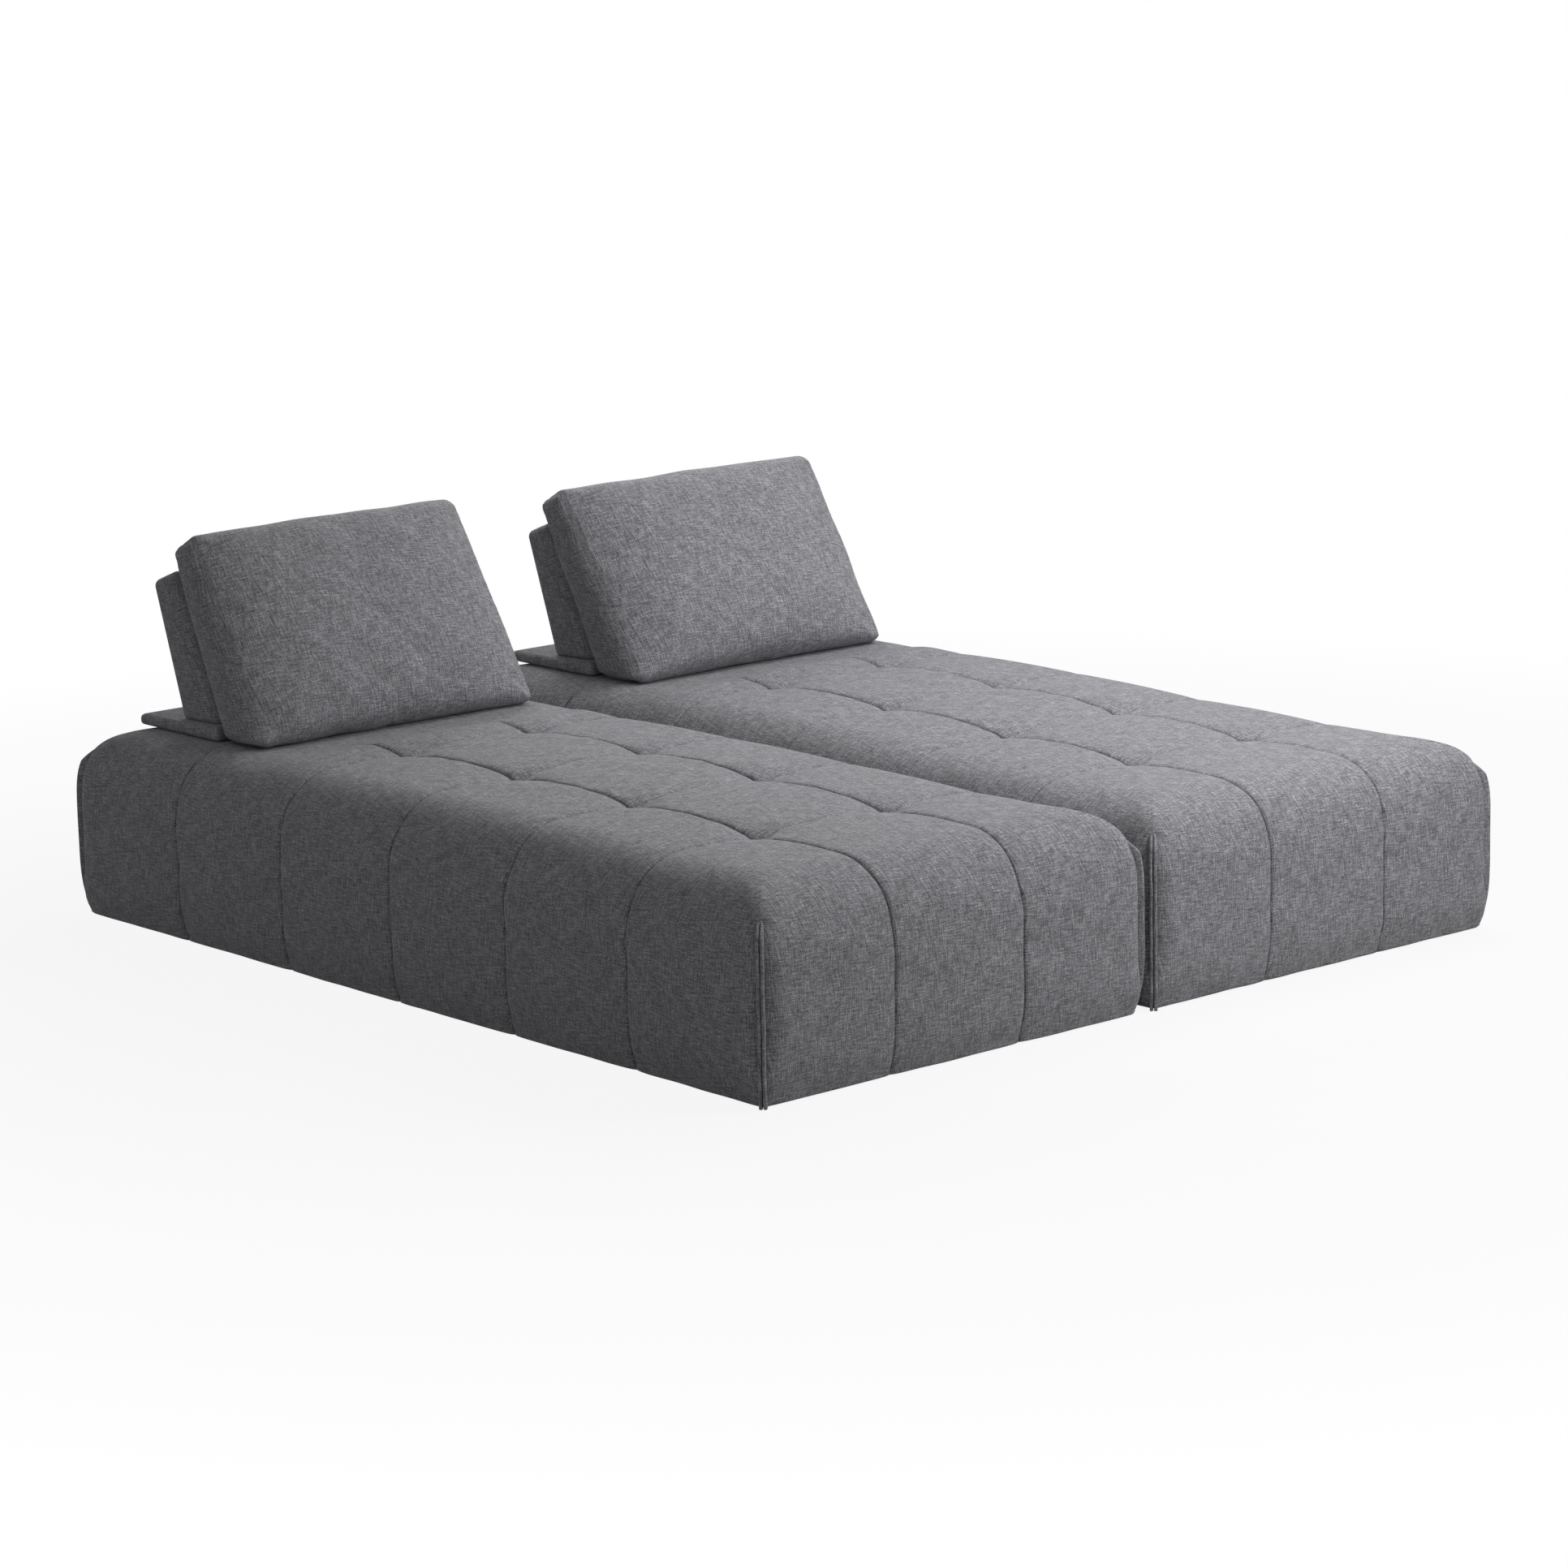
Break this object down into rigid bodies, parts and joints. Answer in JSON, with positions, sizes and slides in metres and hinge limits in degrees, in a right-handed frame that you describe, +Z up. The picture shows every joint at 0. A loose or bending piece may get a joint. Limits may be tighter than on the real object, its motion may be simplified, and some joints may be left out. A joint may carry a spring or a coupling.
{
  "type": "modular sectional sofa",
  "caption": "Low tufted daybed-style sofa of side-by-side fabric modules, each with a loose weighted backrest and a wedge-shaped back cushion.",
  "frame": {"origin": "on the floor, below the middle of the pair of modules", "axes": "+X from the left module to the right one as seen from the foot end, +Y towards the backrests, +Z up"},
  "size_m": [2.0296, 2.2788, 0.8268],
  "materials": {
    "woven_fabric": "heathered grey plain weave over wadding",
    "foam": "upholstery foam",
    "fibre": "fibre-filled insert in a thin white case",
    "webbing": "elastic seat webbing",
    "lining": "non-woven dust cover",
    "timber": "planed softwood",
    "plywood": "plywood",
    "foot_plastic": "moulded black plastic",
    "steel": "plain grey steel",
    "zinc": "zinc-plated steel",
    "grip": "ribbed grip mat",
    "zip": "woven zip tape"
  },
  "bodies": {
    "seat_a": {"seat_cover_a": "woven_fabric", "seat_foam_a": "foam", "webbing_a": "webbing", "side_rail_left_a": "timber", "side_rail_right_a": "timber", "end_rail_front_a": "timber", "end_rail_rear_a": "timber", "cross_rail_front_a": "timber", "cross_rail_rear_a": "timber", "dust_cover_a": "lining", "foot_left_1_a": "foot_plastic", "foot_left_2_a": "foot_plastic", "foot_left_3_a": "foot_plastic", "foot_right_1_a": "foot_plastic", "foot_right_2_a": "foot_plastic", "foot_right_3_a": "foot_plastic"},
    "backrest_a": {"base_cover_a": "woven_fabric", "grip_mat_a": "grip", "ballast_plate_a": "steel", "panel_board_a": "plywood", "upright_left_a": "steel", "upright_right_a": "steel", "upright_bolt_left_a": "zinc", "upright_bolt_right_a": "zinc", "panel_foam_a": "foam", "panel_cover_a": "woven_fabric"},
    "cushion_a": {"cushion_cover_a": "woven_fabric", "cushion_insert_a": "fibre", "cushion_zip_a": "zip"},
    "seat_b": {"seat_cover_b": "woven_fabric", "seat_foam_b": "foam", "webbing_b": "webbing", "side_rail_left_b": "timber", "side_rail_right_b": "timber", "end_rail_front_b": "timber", "end_rail_rear_b": "timber", "cross_rail_front_b": "timber", "cross_rail_rear_b": "timber", "dust_cover_b": "lining", "foot_left_1_b": "foot_plastic", "foot_left_2_b": "foot_plastic", "foot_left_3_b": "foot_plastic", "foot_right_1_b": "foot_plastic", "foot_right_2_b": "foot_plastic", "foot_right_3_b": "foot_plastic"},
    "backrest_b": {"base_cover_b": "woven_fabric", "grip_mat_b": "grip", "ballast_plate_b": "steel", "panel_board_b": "plywood", "upright_left_b": "steel", "upright_right_b": "steel", "upright_bolt_left_b": "zinc", "upright_bolt_right_b": "zinc", "panel_foam_b": "foam", "panel_cover_b": "woven_fabric"},
    "cushion_b": {"cushion_cover_b": "woven_fabric", "cushion_insert_b": "fibre", "cushion_zip_b": "zip"}
  },
  "joints": [
    {"name": "module_b_slide", "type": "slide", "parent": "seat_a", "child": "seat_b", "axis": [1, 0, 0], "range_m": [0, 0.5]},
    {"name": "backrest_a_slide", "type": "slide", "parent": "seat_a", "child": "backrest_a", "axis": [0, -1, 0], "range_m": [0, 1.3]},
    {"name": "cushion_a_lift", "type": "slide", "parent": "backrest_a", "child": "cushion_a", "axis": [0, 0.4384, 0.8988], "range_m": [0, 0.45]},
    {"name": "backrest_b_slide", "type": "slide", "parent": "seat_b", "child": "backrest_b", "axis": [0, -1, 0], "range_m": [0, 1.3]},
    {"name": "cushion_b_lift", "type": "slide", "parent": "backrest_b", "child": "cushion_b", "axis": [0, 0.4384, 0.8988], "range_m": [0, 0.45]}
  ]
}
